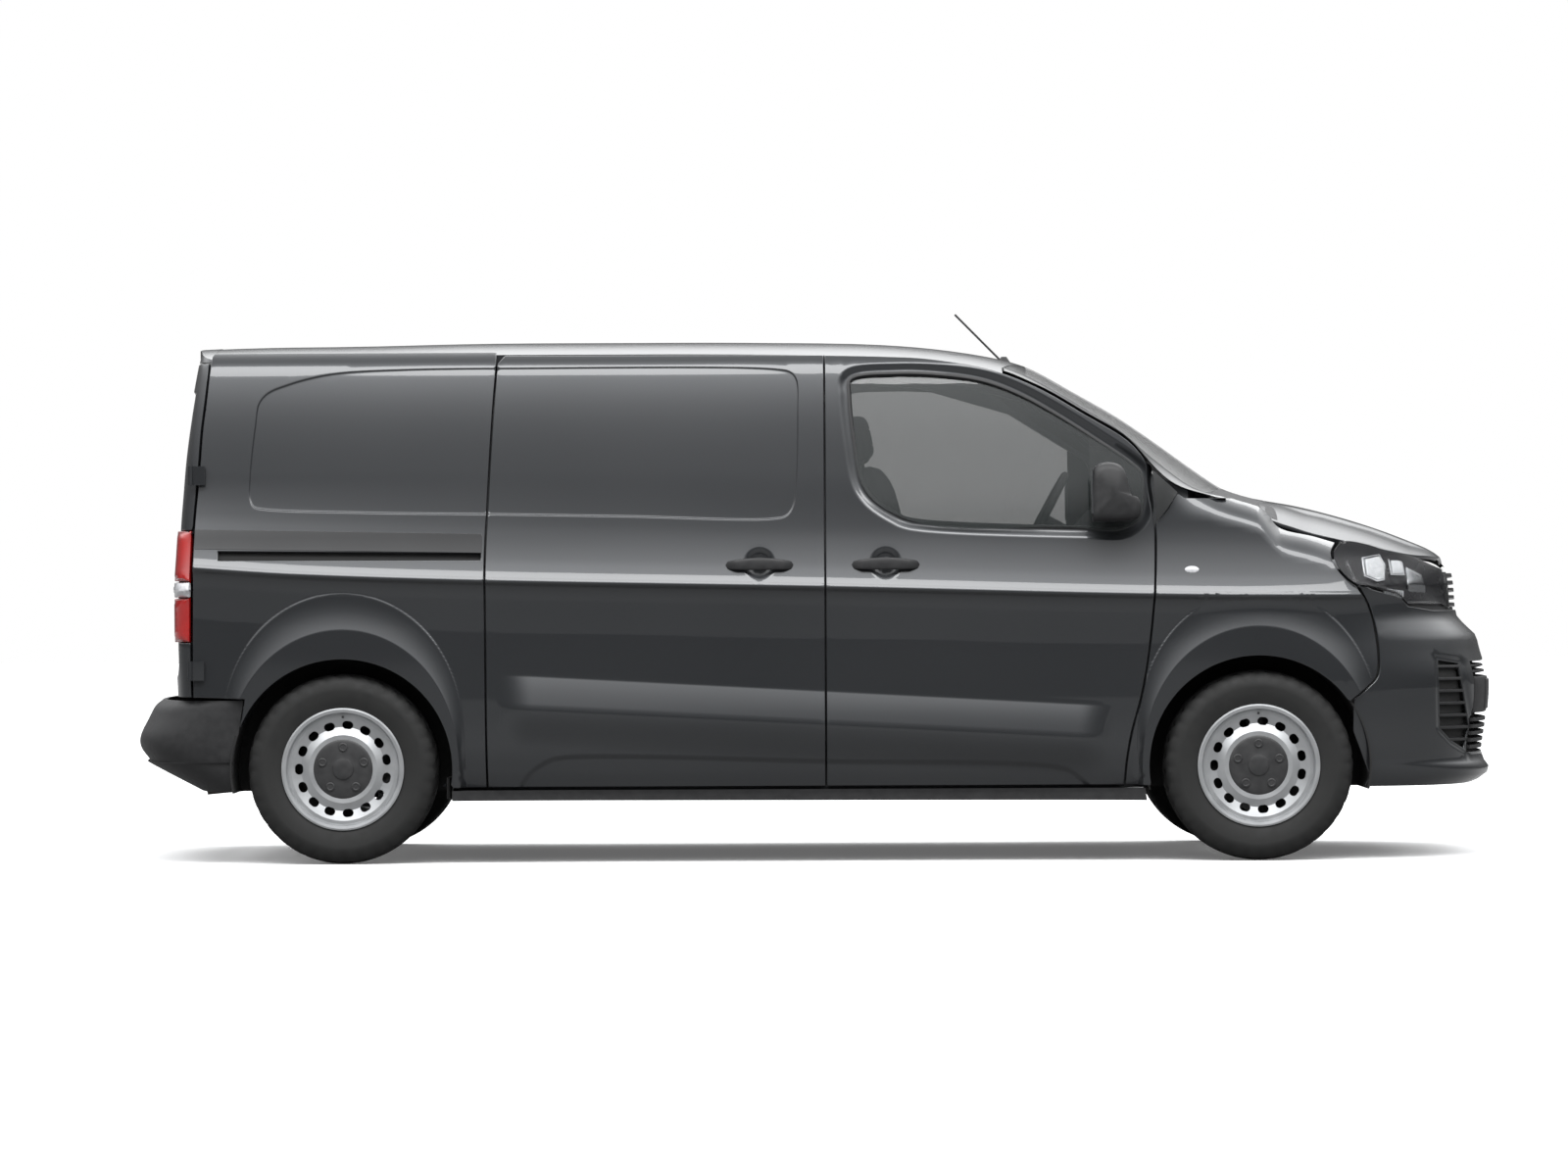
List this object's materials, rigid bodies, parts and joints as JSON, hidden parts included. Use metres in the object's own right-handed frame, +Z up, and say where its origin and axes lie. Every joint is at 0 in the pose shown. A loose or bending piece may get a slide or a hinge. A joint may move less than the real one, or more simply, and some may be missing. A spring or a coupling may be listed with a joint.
{
  "type": "panel van",
  "caption": "Panel van with hinged cab doors, rear doors and bonnet, a fixed sliding door, steered front wheels and turning wheels.",
  "frame": {"origin": "on the ground, midway between the bumpers and between the sides", "axes": "+X forward, +Y to the van's left, +Z up"},
  "size_m": [4.9859, 2.1844, 1.9993],
  "materials": {
    "body_paint": "metallic dark grey",
    "body_inner": "satin",
    "black_trim": "grained",
    "gloss_black": "gloss",
    "glass": "clear",
    "mirror_glass": "mirror",
    "lamp_clear": "clear",
    "lamp_red": "clear red",
    "wheel_silver": "silver",
    "tyre": "matt",
    "chassis": "satin black",
    "engine": "rough",
    "exhaust": "dull",
    "seat_cloth": "woven",
    "dash_plastic": "grained",
    "liner": "matt"
  },
  "bodies": {
    "body": {"sliding_door": "body_paint", "sliding_door_handle": "black_trim", "quarter_panel_left": "body_paint", "quarter_panel_right": "body_paint", "windscreen": "glass", "roof": "body_paint", "rear_header": "body_paint", "windscreen_pillars": "body_paint", "side_frame_left": "body_inner", "side_frame_right": "body_inner", "wings": "body_paint", "front_bumper": "body_paint", "lower_grille": "black_trim", "headlamps": "lamp_clear", "upper_grille": "gloss_black", "cowl": "black_trim", "tail_lamps": "lamp_red", "rear_hinges": "body_paint", "rear_bumper": "black_trim", "floor": "body_inner", "wheel_boxes": "liner", "bulkhead": "body_inner", "seats": "seat_cloth", "dashboard": "dash_plastic", "engine": "engine", "front_subframe": "chassis", "rear_axle": "chassis", "fuel_tank": "black_trim", "exhaust": "exhaust", "sill_covers": "black_trim", "antenna": "black_trim", "high_brake_lamp": "lamp_red", "corner_glass": "glass", "side_repeaters": "lamp_clear"},
    "front_door_right": {"front_door_right": "body_paint", "door_glass_right": "glass", "door_handle_right": "black_trim", "mirror_right": "black_trim", "mirror_glass_right": "mirror_glass"},
    "rear_door_right": {"rear_door_right": "body_paint"},
    "knuckle_right": {"knuckle_right": "chassis"},
    "wheel_front_right": {"tyre_front_right": "tyre", "rim_front_right": "wheel_silver"},
    "wheel_rear_right": {"tyre_rear_right": "tyre", "rim_rear_right": "wheel_silver"},
    "front_door_left": {"front_door_left": "body_paint", "door_glass_left": "glass", "door_handle_left": "black_trim", "mirror_left": "black_trim", "mirror_glass_left": "mirror_glass"},
    "rear_door_left": {"rear_door_left": "body_paint"},
    "knuckle_left": {"knuckle_left": "chassis"},
    "wheel_front_left": {"tyre_front_left": "tyre", "rim_front_left": "wheel_silver"},
    "wheel_rear_left": {"tyre_rear_left": "tyre", "rim_rear_left": "wheel_silver"},
    "bonnet": {"bonnet": "body_paint"},
    "steering_wheel": {"steering_wheel": "dash_plastic"}
  },
  "joints": [
    {"name": "steer_left", "type": "hinge", "parent": "body", "child": "knuckle_left", "pos_m": [1.578, 0.7535, 0.341], "axis": [0, 0, 1], "range_deg": [-35, 35]},
    {"name": "front_door_right_hinge", "type": "hinge", "parent": "body", "child": "front_door_right", "pos_m": [1.17403, -0.945, 0.9], "axis": [0, 0, 1], "range_deg": [0, 65]},
    {"name": "rear_door_right_hinge", "type": "hinge", "parent": "body", "child": "rear_door_right", "pos_m": [-2.23851, -0.93804, 0.69442], "axis": [0, 0.0691, 0.9976], "range_deg": [0, 180]},
    {"name": "steer_right", "type": "hinge", "parent": "body", "child": "knuckle_right", "pos_m": [1.578, -0.7535, 0.341], "axis": [0, 0, 1], "range_deg": [-35, 35]},
    {"name": "wheel_front_right_spin", "type": "hinge", "parent": "knuckle_right", "child": "wheel_front_right", "pos_m": [1.578, -0.8135, 0.341], "axis": [0, 1, 0], "continuous": true},
    {"name": "wheel_rear_right_spin", "type": "hinge", "parent": "body", "child": "wheel_rear_right", "pos_m": [-1.697, -0.8135, 0.341], "axis": [0, 1, 0], "continuous": true},
    {"name": "front_door_left_hinge", "type": "hinge", "parent": "body", "child": "front_door_left", "pos_m": [1.17403, 0.945, 0.9], "axis": [0, 0, -1], "range_deg": [0, 65]},
    {"name": "rear_door_left_hinge", "type": "hinge", "parent": "body", "child": "rear_door_left", "pos_m": [-2.23851, 0.93804, 0.69442], "axis": [0, 0.0691, -0.9976], "range_deg": [0, 180]},
    {"name": "wheel_front_left_spin", "type": "hinge", "parent": "knuckle_left", "child": "wheel_front_left", "pos_m": [1.578, 0.8135, 0.341], "axis": [0, 1, 0], "continuous": true},
    {"name": "wheel_rear_left_spin", "type": "hinge", "parent": "body", "child": "wheel_rear_left", "pos_m": [-1.697, 0.8135, 0.341], "axis": [0, 1, 0], "continuous": true},
    {"name": "bonnet_hinge", "type": "hinge", "parent": "body", "child": "bonnet", "pos_m": [1.55501, 0, 1.23976], "axis": [0, -1, 0], "range_deg": [0, 50]},
    {"name": "steering_wheel_turn", "type": "hinge", "parent": "body", "child": "steering_wheel", "pos_m": [0.85905, 0.4128, 1.23599], "axis": [-0.8829, 0, 0.4695], "range_deg": [-530, 530]}
  ],
  "couplings": [
    {"joint": "steer_right", "follows": "steer_left", "ratio": 1},
    {"joint": "steering_wheel_turn", "follows": "steer_left", "ratio": 15}
  ]
}
